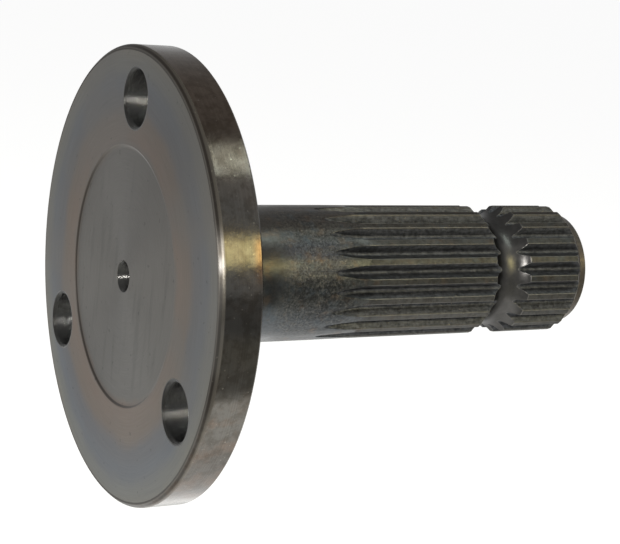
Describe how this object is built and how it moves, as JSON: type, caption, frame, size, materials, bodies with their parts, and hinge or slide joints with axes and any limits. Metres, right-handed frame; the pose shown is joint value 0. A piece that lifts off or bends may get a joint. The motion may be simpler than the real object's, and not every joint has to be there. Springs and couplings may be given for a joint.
{
  "type": "flanged power take-off stub shaft",
  "caption": "One-piece steel stub shaft: a drilled bolt-on flange with a plain journal and an involute-splined end with a ring groove for a yoke lock.",
  "frame": {"origin": "on the shaft axis, in the plane of the flange's mounting face", "axes": "+X along the shaft from the mounting face to the splined end; the mounting face looks towards -X; one bolt hole is straight above the axis, towards +Z"},
  "size_m": [0.1302, 0.1122, 0.1122],
  "materials": {
    "steel": "turned and milled dark oiled steel, heat-tinted on the flange face"
  },
  "bodies": {
    "root": {"flanged_shaft": "steel"}
  },
  "joints": []
}
